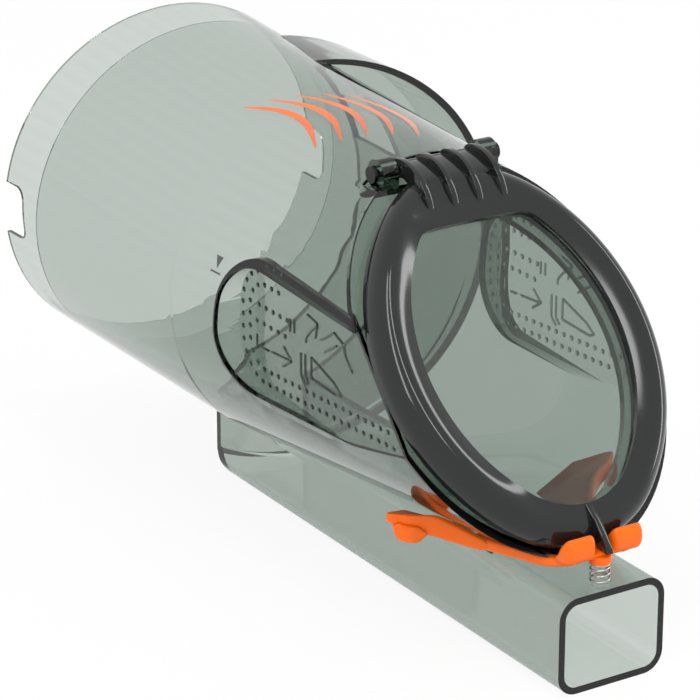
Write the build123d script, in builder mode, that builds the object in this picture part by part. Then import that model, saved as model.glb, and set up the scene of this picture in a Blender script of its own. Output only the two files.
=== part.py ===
from build123d import *
import os
from math import atan2, cos, radians, sin, tan

# Cyclone dust bin of a hand vacuum, in millimetres.
# The front, with the door and the duct's mouth, faces -Y; the bowl's open end faces +Y.
# The origin is the centre of the open end. The bin rests on the flat underside of its inlet duct.

# Bowl
wall = 2.0
rim_radius = 55.0
rim_lean = 6.7
rear_taper = 1.85
front_taper = 4.1
waist_y = -93.0
waist_drop = 3.2
axis_rise = 0.9
collar_depth = 18.0
collar_step = 0.7
notch_low = -10.5
notch_high = 6.0
notch_depth = 10.6
notch_fillet = 4.0

# Slanted mouth and door, measured on the mouth's own plane
door_y = -190.1
door_lean = 40.5
mouth_half_width = 32.0
mouth_half_height = 44.3
flange = 2.5
door_gap = 1.2
door_half_width = 42.8
door_half_height = 55.1
door_depth = 7.0
door_fillet = 5.5
door_shell = 2.2
door_face = 3.6
window_half_width = 31.5
window_half_height = 45.3
window_drop = 0.2
window_top = 37.3
window_corner = 7.0
window_lap = 1.2
window_thickness = 1.9
window_lip = 1.2
land_half_width = 37.0
land_half_height = 50.8
land_width = 3.9
seal_inset = 0.7
seal_width = 2.5
seal_depth = 1.5
seal_gap = 0.35
glue_gap = 0.05

# Finger recesses in both sides
recess_floor = 42.0
recess_low = -21.0
recess_high = 17.5
recess_high_front = 7.0
recess_rear = -116.0
recess_slant = 4.0
recess_fillet = 15.0

# Door hinge
pin_radius = 1.5
pin_head_radius = 2.4
pin_head = 1.2
pin_up = 58.8
pin_back = 0.5
lug_width = 5.0
knuckle_inner = 2.75
knuckle_pitch = 8.0
knuckle_width = 2.5
knuckle_radius = 4.0
barrel_radius = 3.1
hinge_side_gap = 0.5
pin_press_gap = 0.02
pin_run_gap = 0.08
hinge_swing_gap = 0.7
rib_reach = 13.0
rib_proud = 0.8

# Inlet duct and volute
duct_width = 34.2
duct_height = 28.0
duct_bottom = -77.0
duct_corner = 6.0
duct_heel = 10.0
duct_front = -238.0
duct_rear = -61.0
volute_front = -62.0
volute_rear = -32.0
volute_x = 15.0
volute_half_width = 67.0
volute_top = 48.0
volute_side = 12.0
port_x = 16.0
port_low = 12.0
weld_gap = 0.05

# Door latch, its trunnion posts on the duct and its spring
pivot_y = -200.0
pivot_z = -46.2
trunnion_radius = 1.1
trunnion_run_gap = 0.06
trunnion_end_gap = 0.3
post_inner = 10.5
post_width = 3.5
post_half_length = 2.2
post_height = 4.4
strap_side_gap = 0.5
strap_width = 3.0
strap_top = -44.3
strap_bottom = -48.2
bar_rear = -228.2
bar_front = -236.0
bar_bottom = -45.0
bar_height = 3.0
hook_top = -34.7
hook_round = 1.8
hook_inner = 2.7
hook_outer = 13.0
hook_bite = 15.0
hook_root = 50.0
hook_lean = 47.0
catch_gap = 0.45
bar_taper = 4.0
wing_rear = -179.5
wing_back_x = 29.0
wing_reach = 37.9
wing_side_y = -188.0
wing_front_x = 33.0
wing_front_y = -194.5
wing_inner_top = -46.0
wing_back_top = -38.5
wing_outer_top = -36.8
wing_thickness = 3.6
wing_clear = 2.3
wing_inner_bottom = -48.6
lip_width = 3.0
lip_front_x = 27.0
lip_front_y = -198.0
lip_bottom = -45.6
spring_radius = 2.6
spring_wire = 0.6
spring_pitch = 2.1
spring_pocket = 1.4
spring_pocket_gap = 0.5
spring_end_gap = 0.1

# Values worked out from the sizes above
far = 300.0
oval_share = 0.75
waist_radius = rim_radius + waist_y * tan(radians(rear_taper))
waist_sphere = waist_radius * cos(radians(rear_taper))
rear_fall = atan2(waist_drop, -waist_y)
duct_top = duct_bottom + duct_height
volute_z = (volute_top + duct_bottom) / 2
volute_half_height = (volute_top - duct_bottom) / 2
spring_y = (bar_rear + bar_front) / 2
barrel_half = knuckle_inner + knuckle_pitch + knuckle_width
lug_inner = barrel_half + hinge_side_gap
lug_outer = lug_inner + lug_width
pin_half = lug_outer + hinge_side_gap + pin_head
trough_half = pin_half + hinge_side_gap
trough_radius = knuckle_radius + hinge_swing_gap
door_back = door_gap
door_front = door_gap + door_depth
door_inner = door_front - door_face
bar_top = bar_bottom + bar_height
post_outer = post_inner + post_width
strap_inner = post_outer + strap_side_gap
strap_outer = strap_inner + strap_width

waist_at = Vector(0, waist_y, -waist_drop)
rear_axis = Plane(
    origin=waist_at,
    x_dir=(1, 0, 0),
    z_dir=(0, -cos(rear_fall), -sin(rear_fall)),
)
front_axis = Plane(
    origin=waist_at,
    x_dir=(1, 0, 0),
    z_dir=(0, -cos(radians(axis_rise)), sin(radians(axis_rise))),
)
rim_plane = Plane(
    origin=(0, 0, 0),
    x_dir=(1, 0, 0),
    z_dir=(0, cos(radians(rim_lean)), sin(radians(rim_lean))),
)
door_plane = Plane(
    origin=(0, door_y, 0),
    x_dir=(1, 0, 0),
    z_dir=(0, -cos(radians(door_lean)), sin(radians(door_lean))),
)
pin_at = door_plane.from_local_coords(Vector(0, pin_up, -pin_back))
pin_plane = Plane(origin=(0, pin_at.Y, pin_at.Z), x_dir=(0, 1, 0), z_dir=(1, 0, 0))
side_plane = Plane(origin=(0, 0, 0), x_dir=(0, 1, 0), z_dir=(1, 0, 0))
door_side = Plane(origin=(0, door_y, 0), x_dir=door_plane.y_dir, z_dir=(1, 0, 0))


def cone_half(axis, taper, inset, tail, nose, kink, keep):
    """One cone of the bowl's body about an axis plane at the waist, inset, and cut at the kink plane."""
    slope = tan(radians(taper))
    radius = (waist_sphere - inset) / cos(radians(taper))
    with BuildPart() as half:
        with Locations(axis.offset(waist_y - tail).location):
            Cone(
                radius + (tail - waist_y) * slope,
                radius - (waist_y - nose) * slope,
                tail - nose,
                align=(Align.CENTER, Align.CENTER, Align.MIN),
            )
        split(bisect_by=kink, keep=keep)
    return half.part


def body_solid(inset, tail, nose):
    """The bowl's round body without hollows, inset from its skin: two cones that meet at the waist."""
    meet = rear_axis.z_dir / cos(radians(rear_taper)) + front_axis.z_dir / cos(radians(front_taper))
    reach = (waist_sphere - inset) * (tan(radians(rear_taper)) + tan(radians(front_taper)))
    kink = Plane(origin=waist_at + meet * (reach / meet.length**2), x_dir=(1, 0, 0), z_dir=meet)
    with BuildPart() as body:
        add(cone_half(rear_axis, rear_taper, inset, tail, nose, kink, Keep.BOTTOM))
        add(cone_half(front_axis, front_taper, inset, tail, nose, kink, Keep.TOP))
    return body.part


def oval_face(half_width, half_height):
    """A smooth oval of four arcs, centred on the origin."""
    end_radius = half_width - oval_share * (half_height - half_width)
    shift = half_height - end_radius
    side_radius = (half_width**2 + shift**2 - end_radius**2) / (2 * (half_width - end_radius))
    join_x = end_radius * (side_radius - half_width) / (side_radius - end_radius)
    join_y = shift + end_radius * shift / (side_radius - end_radius)
    with BuildSketch() as oval:
        with BuildLine():
            ThreePointArc((-join_x, join_y), (0, half_height), (join_x, join_y))
            ThreePointArc((join_x, join_y), (half_width, 0), (join_x, -join_y))
            ThreePointArc((join_x, -join_y), (0, -half_height), (-join_x, -join_y))
            ThreePointArc((-join_x, -join_y), (-half_width, 0), (-join_x, join_y))
        make_face()
    return oval.sketch


def oval_solid(half_width, half_height, low, high):
    """An oval prism on the door's plane, from height low to height high above the bowl's mouth."""
    with BuildPart() as prism:
        with BuildSketch(door_plane.offset(low)):
            add(oval_face(half_width, half_height))
        extrude(amount=high - low)
    return prism.part


def window_solid(margin, low, high):
    """The window's outline, a broad oval with a flat top, grown by a margin and made a prism."""
    with BuildPart() as prism:
        with BuildSketch(door_plane.offset(low)) as outline:
            with Locations((0, -window_drop)):
                add(oval_face(window_half_width + margin, window_half_height + margin))
            with Locations((0, window_top + margin)):
                Rectangle(far, far, align=(Align.CENTER, Align.MIN), mode=Mode.SUBTRACT)
            fillet(outline.vertices().group_by(Axis.Y)[-1], window_corner)
        extrude(amount=high - low)
    return prism.part


def recess_solid(margin):
    """Both finger recesses, each a tongue that opens at the door's edge, grown by a margin."""
    front = door_y - door_half_height
    with BuildPart() as tongues:
        with BuildSketch(side_plane.offset(recess_floor - margin)) as outline:
            with BuildLine():
                Polyline(
                    (front, recess_low),
                    (recess_rear, recess_low),
                    (recess_rear - recess_slant, recess_high),
                    (front, recess_high_front),
                    close=True,
                )
            make_face()
            fillet(outline.vertices().sort_by(Axis.X)[-2:], recess_fillet)
            if margin:
                offset(amount=margin)
        extrude(amount=rim_radius)
        mirror(about=Plane.YZ)
    return tongues.part


def hinge_cylinder(radius, low, high):
    """A cylinder about the hinge pin's axis from x = low to x = high."""
    with BuildPart() as cylinder:
        with BuildSketch(pin_plane.offset(low)):
            Circle(radius)
        extrude(amount=high - low)
    return cylinder.part


def duct_solid(inset):
    """The straight duct with a rounded heel at its rear, inset all round and open at the front."""
    with BuildPart() as tube:
        with BuildSketch(Plane.XZ.offset(inset - duct_rear)):
            with Locations((0, duct_bottom + inset)):
                RectangleRounded(
                    duct_width - 2 * inset,
                    duct_height - 2 * inset,
                    duct_corner - inset,
                    align=(Align.CENTER, Align.MIN),
                )
        extrude(amount=duct_rear - inset - duct_front)
        with BuildSketch(side_plane.offset(-duct_width)) as profile:
            with Locations((duct_rear - inset, duct_bottom + inset)):
                Rectangle(far, far, align=(Align.MAX, Align.MIN))
            fillet(profile.vertices().sort_by(Axis.X)[-2:].sort_by(Axis.Y)[0], duct_heel - inset)
        extrude(amount=2 * duct_width, mode=Mode.INTERSECT)
    return tube.part


def volute_solid(inset, front):
    """The oval scroll, slanted where the duct bends into it, inset and run forward to y = front."""
    near = -duct_width / 2
    with BuildPart() as scroll:
        with BuildSketch(Plane.XZ.offset(inset - volute_rear)):
            with Locations((volute_x, volute_z)):
                add(oval_face(volute_half_width - inset, volute_half_height - inset))
        extrude(amount=volute_rear - inset - front)
        with BuildSketch(Plane.XY.offset(-far / 2)):
            with BuildLine():
                Polyline(
                    (near, duct_front),
                    (near, duct_rear),
                    (volute_side, volute_rear),
                    (volute_side + far, volute_rear),
                    (volute_side + far, duct_front),
                    close=True,
                )
            make_face()
            if inset:
                offset(amount=-inset)
        extrude(amount=far, mode=Mode.INTERSECT)
    return scroll.part


skin = body_solid(0, rim_radius / 4, duct_front)
weld_skin = body_solid(-weld_gap, rim_radius / 4, duct_front)
recesses = recess_solid(0)
trough = hinge_cylinder(trough_radius, -trough_half, trough_half)

# Hollow of the bowl, closed by the mouth's flange and kept off the recesses and the hinge trough
with BuildPart() as hollow:
    add(body_solid(wall, rim_radius / 2, duct_front))
    split(bisect_by=door_plane.offset(-flange), keep=Keep.BOTTOM)
    add(recess_solid(wall), mode=Mode.SUBTRACT)
    add(hinge_cylinder(trough_radius + wall, -trough_half - wall, trough_half + wall), mode=Mode.SUBTRACT)

# Stepped band inside the rim
with BuildPart() as collar:
    add(body_solid(wall - collar_step, rim_radius / 2, duct_front))
    split(bisect_by=rim_plane.offset(-collar_depth), keep=Keep.TOP)

# Opening from the volute into the bowl
with BuildPart() as port:
    add(volute_solid(wall, volute_front + wall))
    with BuildSketch(Plane.XZ.offset(-volute_rear)):
        with Locations((port_x, port_low)):
            Rectangle(far, far, align=(Align.MIN, Align.MIN))
    extrude(amount=volute_rear - volute_front, mode=Mode.INTERSECT)

# Bowl
with BuildPart() as bowl:
    add(skin)
    split(bisect_by=rim_plane, keep=Keep.BOTTOM)
    split(bisect_by=door_plane, keep=Keep.BOTTOM)
    add(hollow.part, mode=Mode.SUBTRACT)
    add(collar.part, mode=Mode.SUBTRACT)
    add(recesses, mode=Mode.SUBTRACT)
    add(trough, mode=Mode.SUBTRACT)
    add(oval_solid(mouth_half_width, mouth_half_height, -2 * flange, flange), mode=Mode.SUBTRACT)
    add(port.part, mode=Mode.SUBTRACT)
    with BuildSketch(side_plane.offset(-far / 2)) as notch:
        with Locations((-notch_depth, (notch_low + notch_high) / 2)):
            Rectangle(far, notch_high - notch_low, align=(Align.MIN, Align.CENTER))
        fillet(notch.vertices().sort_by(Axis.X)[:2], notch_fillet)
    extrude(amount=far, mode=Mode.SUBTRACT)
    for side in (-1, 1):
        low = min(side * lug_inner, side * lug_outer)
        with BuildSketch(pin_plane.offset(low)):
            Circle(knuckle_radius)
            Rectangle(2 * knuckle_radius, trough_radius + wall / 2, align=(Align.CENTER, Align.MAX))
        extrude(amount=lug_width)
    add(hinge_cylinder(pin_radius + pin_press_gap, -trough_half, trough_half), mode=Mode.SUBTRACT)

# Passage from the duct's end into the volute
with BuildPart() as passage:
    with BuildSketch(Plane.XZ.offset(-volute_rear)):
        with Locations((0, duct_bottom + wall)):
            RectangleRounded(
                duct_width - 2 * wall, duct_height - 2 * wall, duct_corner - wall, align=(Align.CENTER, Align.MIN)
            )
    extrude(amount=volute_rear - duct_rear + duct_heel)
    add(volute_solid(wall, duct_rear - duct_heel), mode=Mode.INTERSECT)

# Inlet duct with its volute, welded under and beside the bowl
with BuildPart() as inlet_duct:
    add(duct_solid(0))
    add(volute_solid(0, volute_front))
    add(duct_solid(wall), mode=Mode.SUBTRACT)
    add(volute_solid(wall, volute_front + wall), mode=Mode.SUBTRACT)
    add(passage.part, mode=Mode.SUBTRACT)
    for side in (-1, 1):
        with BuildSketch(Plane.XY.offset(duct_top - wall / 2)):
            with Locations((side * (post_inner + post_width / 2), pivot_y)):
                Rectangle(post_width, 2 * post_half_length)
        extrude(amount=post_height + wall / 2)
        low = min(side * post_inner, side * (strap_outer - trunnion_end_gap))
        with BuildSketch(side_plane.offset(low)):
            with Locations((pivot_y, pivot_z)):
                Circle(trunnion_radius)
        extrude(amount=strap_outer - trunnion_end_gap - post_inner)
    add(weld_skin, mode=Mode.SUBTRACT)

# Door frame: a domed oval ring, hollow behind, with a hinge barrel and four ribs at the top
knuckle_arm = [
    (pin_up + 0.9 * knuckle_radius, -pin_back),
    (pin_up + 0.6 * knuckle_radius, 0.7 * knuckle_radius),
    (pin_up - 0.6 * knuckle_radius, door_front - rib_proud),
    (pin_up - rib_reach, door_front + rib_proud),
    (pin_up - rib_reach - rib_proud, door_front),
    (pin_up - rib_reach, door_inner),
    (pin_up - knuckle_radius, door_back + door_gap),
    (pin_up - 0.8 * knuckle_radius, -pin_back),
]
with BuildPart() as door_frame:
    with BuildSketch(door_plane.offset(door_back)):
        add(oval_face(door_half_width, door_half_height))
    extrude(amount=door_depth)
    front_face = door_frame.faces().sort_by(Axis(door_plane.origin, door_plane.z_dir))[-1]
    fillet(front_face.edges(), door_fillet)
    add(
        oval_solid(door_half_width - door_shell, door_half_height - door_shell, door_back, door_inner),
        mode=Mode.SUBTRACT,
    )
    add(oval_solid(land_half_width, land_half_height, door_back, door_inner))
    add(
        oval_solid(land_half_width - land_width, land_half_height - land_width, door_back, door_inner),
        mode=Mode.SUBTRACT,
    )
    add(window_solid(0, door_inner, door_front), mode=Mode.SUBTRACT)
    add(window_solid(window_lap + glue_gap, door_inner, door_front - window_lip), mode=Mode.SUBTRACT)
    add(
        oval_solid(
            land_half_width - seal_inset + glue_gap,
            land_half_height - seal_inset + glue_gap,
            door_back,
            door_back + seal_depth,
        ),
        mode=Mode.SUBTRACT,
    )
    add(
        oval_solid(
            land_half_width - seal_inset - seal_width - glue_gap,
            land_half_height - seal_inset - seal_width - glue_gap,
            door_back,
            door_back + seal_depth,
        )
    )
    add(
        oval_solid(land_half_width - land_width, land_half_height - land_width, door_back, door_inner),
        mode=Mode.SUBTRACT,
    )
    for side in (-1, 1):
        swing_low = min(side * (lug_inner - hinge_side_gap), side * (lug_outer + hinge_side_gap))
        add(
            hinge_cylinder(trough_radius, swing_low, swing_low + lug_width + 2 * hinge_side_gap),
            mode=Mode.SUBTRACT,
        )
        for start in (knuckle_inner, knuckle_inner + knuckle_pitch):
            low = min(side * start, side * (start + knuckle_width))
            add(hinge_cylinder(knuckle_radius, low, low + knuckle_width))
            with BuildSketch(door_side.offset(low)):
                with BuildLine():
                    Polyline(*knuckle_arm, close=True)
                make_face()
            extrude(amount=knuckle_width)
    add(hinge_cylinder(barrel_radius, -barrel_half, barrel_half))
    add(hinge_cylinder(pin_radius + pin_run_gap, -trough_half, trough_half), mode=Mode.SUBTRACT)

# Clear window, glued into the frame's rebate from behind
window_high = door_front - window_lip - glue_gap
with BuildPart() as door_window:
    add(window_solid(window_lap, window_high - window_thickness, window_high))

# Rubber seal in the groove of the frame's land, just clear of the bowl's flange
with BuildPart() as door_seal:
    add(
        oval_solid(
            land_half_width - seal_inset,
            land_half_height - seal_inset,
            seal_gap,
            door_back + seal_depth - glue_gap,
        )
    )
    add(
        oval_solid(
            land_half_width - seal_inset - seal_width,
            land_half_height - seal_inset - seal_width,
            seal_gap,
            door_back + seal_depth - glue_gap,
        ),
        mode=Mode.SUBTRACT,
    )

# Hinge pin with a head at each end
with BuildPart() as hinge_pin:
    add(hinge_cylinder(pin_radius, -pin_half, pin_half))
    add(hinge_cylinder(pin_head_radius, -pin_half, -pin_half + pin_head))
    add(hinge_cylinder(pin_head_radius, pin_half - pin_head, pin_half))

# Strap of the latch on one side, from the bar back to the pivot
with BuildPart() as strap:
    with BuildSketch(Plane.XY.offset(duct_top)):
        with BuildLine():
            Polyline(
                (strap_inner - bar_taper, bar_front),
                (strap_outer - bar_taper, bar_front),
                (strap_outer, bar_rear),
                (strap_outer, pivot_y + post_half_length),
                (strap_inner, pivot_y + post_half_length),
                (strap_inner, bar_rear),
                close=True,
            )
        make_face()
    extrude(amount=hook_top - duct_top)
    with BuildSketch(side_plane.offset(hook_inner)):
        with BuildLine():
            Polyline(
                (bar_front, bar_bottom),
                (bar_front, bar_top),
                (bar_rear, bar_top),
                (pivot_y - post_half_length, strap_top),
                (pivot_y + post_half_length, strap_top),
                (pivot_y + post_half_length, strap_bottom),
                (pivot_y - post_half_length, strap_bottom),
                (bar_rear, bar_bottom),
                close=True,
            )
        make_face()
    extrude(amount=wing_reach, mode=Mode.INTERSECT)

# Finger wing of the latch on one side: a paddle that follows the bowl's underside, with a lip under its edge
with BuildPart() as wing:
    with BuildSketch(Plane.XY.offset(duct_top)):
        with BuildLine():
            Polyline(
                (strap_inner, pivot_y - post_half_length),
                (strap_outer, pivot_y - post_half_length),
                (wing_front_x, wing_front_y),
                (wing_reach, wing_side_y),
                (wing_back_x, wing_rear),
                (strap_inner, wing_rear),
                close=True,
            )
        make_face()
    extrude(amount=hook_top - duct_top)
    with BuildSketch(Plane.XZ.offset(-wing_rear)):
        with BuildLine():
            Polyline(
                (strap_inner, wing_inner_bottom),
                (strap_inner, wing_inner_top),
                (wing_back_x, wing_back_top),
                (wing_reach, wing_outer_top),
                (wing_reach, wing_outer_top - wing_thickness),
                (wing_back_x, wing_back_top - wing_thickness),
                (strap_outer, wing_inner_bottom),
                close=True,
            )
        make_face()
    extrude(amount=wing_rear - bar_front, mode=Mode.INTERSECT)
    with BuildSketch(Plane.XY.offset(lip_bottom)):
        with BuildLine():
            Polyline(
                (wing_reach, wing_side_y),
                (wing_front_x, wing_front_y),
                (lip_front_x, lip_front_y),
                (lip_front_x - lip_width / 2, lip_front_y + lip_width),
                (wing_front_x - lip_width, wing_front_y + lip_width),
                (wing_reach - lip_width, wing_side_y + lip_width),
                close=True,
            )
        make_face()
    extrude(amount=wing_outer_top - wing_thickness / 2 - lip_bottom)
    add(body_solid(-wing_clear, rim_radius / 4, duct_front), mode=Mode.SUBTRACT)

# Latch: two rounded hooks on a bar, with a strap and a wing on each side, snapped over the duct's trunnions
catch_at = door_plane.from_local_coords(Vector(0, door_fillet - door_half_height, door_front - door_fillet))
catch_reach = door_fillet + catch_gap
hook_points = []
for angle in (hook_bite, (hook_bite + hook_root) / 2, hook_root):
    along = catch_at.Y - catch_reach * cos(radians(angle))
    hook_points.append((along, catch_at.Z - catch_reach * sin(radians(angle))))
hook_lip, hook_throat, hook_base = hook_points
hook_crest = hook_lip[0] - (hook_top - hook_lip[1]) * tan(radians(hook_lean))
with BuildPart() as latch:
    with BuildSketch(side_plane.offset(hook_inner)) as hook:
        with BuildLine():
            ThreePointArc(hook_lip, hook_throat, hook_base)
            Polyline(
                hook_base,
                (hook_base[0], bar_bottom),
                (bar_front, bar_bottom),
                (bar_front, hook_top),
                (hook_crest, hook_top),
                hook_lip,
            )
        make_face()
        fillet(hook.vertices().group_by(Axis.Y)[-1].sort_by(Axis.X)[0], hook_round)
    extrude(amount=hook_outer - hook_inner)
    add(strap.part)
    add(wing.part)
    mirror(about=Plane.YZ)
    with Locations((0, (bar_front + bar_rear) / 2, bar_bottom)):
        Box(2 * hook_outer, bar_rear - bar_front, bar_height, align=(Align.CENTER, Align.CENTER, Align.MIN))
    with BuildSketch(side_plane.offset(-far / 2)):
        with Locations((pivot_y, pivot_z)):
            Circle(trunnion_radius + trunnion_run_gap)
    extrude(amount=far, mode=Mode.SUBTRACT)
    with BuildSketch(Plane.XY.offset(bar_bottom)):
        with Locations((0, spring_y)):
            Circle(spring_radius + spring_wire / 2 + spring_pocket_gap)
    extrude(amount=spring_pocket, mode=Mode.SUBTRACT)

# Latch spring: a short coil between the duct's top and the bar's pocket
spring_low = duct_top + spring_end_gap
spring_high = bar_bottom + spring_pocket - spring_end_gap
with BuildPart() as latch_spring:
    with BuildLine(Plane.XY.offset(spring_low + spring_wire / 2)) as coil:
        Helix(spring_pitch, spring_high - spring_low - spring_wire, spring_radius, center=(0, spring_y, 0))
    with BuildSketch(Plane(coil.line @ 0, z_dir=coil.line % 0)):
        RegularPolygon(spring_wire / 2, 6)
    sweep()

os.makedirs("parts", exist_ok=True)
bowl.part.label = "bowl"
export_step(bowl.part, "parts/bowl.step")
inlet_duct.part.label = "inlet_duct"
export_step(inlet_duct.part, "parts/inlet_duct.step")
door_frame.part.label = "door_frame"
export_step(door_frame.part, "parts/door_frame.step")
door_window.part.label = "door_window"
export_step(door_window.part, "parts/door_window.step")
door_seal.part.label = "door_seal"
export_step(door_seal.part, "parts/door_seal.step")
hinge_pin.part.label = "hinge_pin"
export_step(hinge_pin.part, "parts/hinge_pin.step")
latch.part.label = "latch"
export_step(latch.part, "parts/latch.step")
latch_spring.part.label = "latch_spring"
export_step(latch_spring.part, "parts/latch_spring.step")
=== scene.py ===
"""Looks of a hand vacuum's cyclone dust bin: smoky clear plastic, a dark door ring and an orange latch.

The bin's front faces -Y, its open end faces +Y and the volute stands on +X. Lengths are in metres, unless
a docstring says millimetres.
"""

import logging
import math
from dataclasses import dataclass, field
from enum import Enum
from typing import Sequence

import bpy
import numpy as np
from mathutils import Matrix, Vector


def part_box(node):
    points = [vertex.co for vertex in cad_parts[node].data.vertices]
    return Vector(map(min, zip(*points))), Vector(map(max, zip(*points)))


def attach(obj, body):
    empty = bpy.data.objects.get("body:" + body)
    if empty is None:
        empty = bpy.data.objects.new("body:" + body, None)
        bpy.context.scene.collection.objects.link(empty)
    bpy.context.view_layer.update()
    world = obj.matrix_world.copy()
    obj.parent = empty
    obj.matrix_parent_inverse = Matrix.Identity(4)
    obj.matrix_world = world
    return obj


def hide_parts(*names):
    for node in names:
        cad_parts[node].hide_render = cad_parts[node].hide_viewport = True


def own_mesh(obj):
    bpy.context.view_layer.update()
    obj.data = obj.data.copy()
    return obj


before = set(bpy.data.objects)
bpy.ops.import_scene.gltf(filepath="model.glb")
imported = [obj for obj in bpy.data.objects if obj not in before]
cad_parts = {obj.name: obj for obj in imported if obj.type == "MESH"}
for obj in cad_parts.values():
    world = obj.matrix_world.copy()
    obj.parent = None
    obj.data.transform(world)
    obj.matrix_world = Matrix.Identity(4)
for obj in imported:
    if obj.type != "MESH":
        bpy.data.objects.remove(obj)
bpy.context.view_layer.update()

LOG = logging.getLogger("dust_bin")
MM = 0.001
# Unit vectors along x, y and z
ACROSS, ALONG, UP = np.eye(3)
# Edges that turn by more than this are shaded sharp
SHARP_ANGLE = math.radians(45.0)
# Points round a ribbon's profile and round a limb's section
RIBBON_POINTS = 12
LIMB_POINTS = 24
# How many times an outline's corners are cut to round it
CORNER_CUTS = 3
# Share of a limb's squared size that its rounded ends lose at their very tip
END_TAKEN = 0.93


class Side(Enum):
    """The two sides of the bin, as the sign of x."""

    NEAR = -1.0
    FAR = 1.0


class Sheen(Enum):
    """How polished a moulded surface is, as its roughness."""

    POLISHED = 0.1
    SATIN = 0.34


class Section(Enum):
    """How square a limb's section is, as the power in its formula."""

    ROUND = 2.0
    OVAL = 2.4
    SOFT = 2.8
    SQUARE = 4.0
    PLATE = 7.0


def new_material(name: str) -> tuple[bpy.types.Material, bpy.types.NodeTree]:
    """Make an empty node material.

    Args:
        name: The material's name.

    Returns:
        The material and its node tree, holding only an output node.
    """
    material = bpy.data.materials.new(name)
    material.use_nodes = True
    tree = material.node_tree
    tree.nodes.clear()
    tree.nodes.new("ShaderNodeOutputMaterial")
    return material, tree


def node(tree: bpy.types.NodeTree, kind: str, **values: object) -> bpy.types.Node:
    """Add a node and set its properties or inputs by name.

    Args:
        tree: The tree that takes the node.
        kind: The node's type name.
        **values: Property names, or input names with spaces written as underscores.

    Returns:
        The new node.
    """
    made = tree.nodes.new(kind)
    for key, value in values.items():
        socket = made.inputs.get(key.replace("_", " "))
        if socket is not None:
            socket.default_value = value
        else:
            setattr(made, key, value)
    return made


def noise_bump(tree: bpy.types.NodeTree, scale: float, strength: float, distance: float) -> bpy.types.Node:
    """Add a bump fed by fine noise on Object coordinates.

    Args:
        tree: The tree that takes the nodes.
        scale: Noise cells per metre.
        strength: The bump's strength.
        distance: The bump's height in metres.

    Returns:
        The bump node.
    """
    place = tree.nodes.new("ShaderNodeTexCoord")
    noise = node(tree, "ShaderNodeTexNoise", Scale=scale, Detail=3.0, Roughness=0.55)
    bump = node(tree, "ShaderNodeBump", Strength=strength, Distance=distance)
    tree.links.new(place.outputs["Object"], noise.inputs["Vector"])
    tree.links.new(noise.outputs["Fac"], bump.inputs["Height"])
    return bump


@dataclass(frozen=True)
class SmokyPlastic:
    """Clear tinted plastic that darkens with its thickness.

    Attributes:
        name: The material's name.
        tint: Colour that the plastic lets through, per channel.
        density: How strongly the rest is taken up, per metre.
        shadow: Colour of the light that lamps send through one wall.
        ior: Index of refraction.
        roughness: Roughness of the polished skin.
        ripple: Strength of the faint moulding ripple.
        ripple_cells: Ripple cells per metre.
        ripple_height: Height of the ripple.
    """

    name: str
    tint: tuple[float, float, float] = (0.215, 0.335, 0.25)
    density: float = 400.0
    shadow: tuple[float, float, float] = (0.70, 0.75, 0.73)
    ior: float = 1.46
    roughness: float = 0.015
    ripple: float = 0.008
    ripple_cells: float = 55.0
    ripple_height: float = 0.3 * MM

    def build(self) -> bpy.types.Material:
        """Build the material, with lamps' light let through as a soft tint.

        Returns:
            The new material.
        """
        material, tree = new_material(self.name)
        out = tree.nodes["Material Output"]
        body = node(
            tree,
            "ShaderNodeBsdfPrincipled",
            Base_Color=(1.0, 1.0, 1.0, 1.0),
            Roughness=self.roughness,
            IOR=self.ior,
            Transmission_Weight=1.0,
        )
        bump = noise_bump(tree, self.ripple_cells, self.ripple, self.ripple_height)
        tree.links.new(bump.outputs["Normal"], body.inputs["Normal"])
        through = node(tree, "ShaderNodeBsdfTransparent", Color=(*self.shadow, 1.0))
        rays = tree.nodes.new("ShaderNodeLightPath")
        mix = tree.nodes.new("ShaderNodeMixShader")
        tree.links.new(rays.outputs["Is Shadow Ray"], mix.inputs["Fac"])
        tree.links.new(body.outputs["BSDF"], mix.inputs[1])
        tree.links.new(through.outputs["BSDF"], mix.inputs[2])
        tint = (*self.tint, 1.0)
        absorb = node(tree, "ShaderNodeVolumeAbsorption", Color=tint, Density=self.density)
        tree.links.new(mix.outputs["Shader"], out.inputs["Surface"])
        tree.links.new(absorb.outputs["Volume"], out.inputs["Volume"])
        return material


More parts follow.
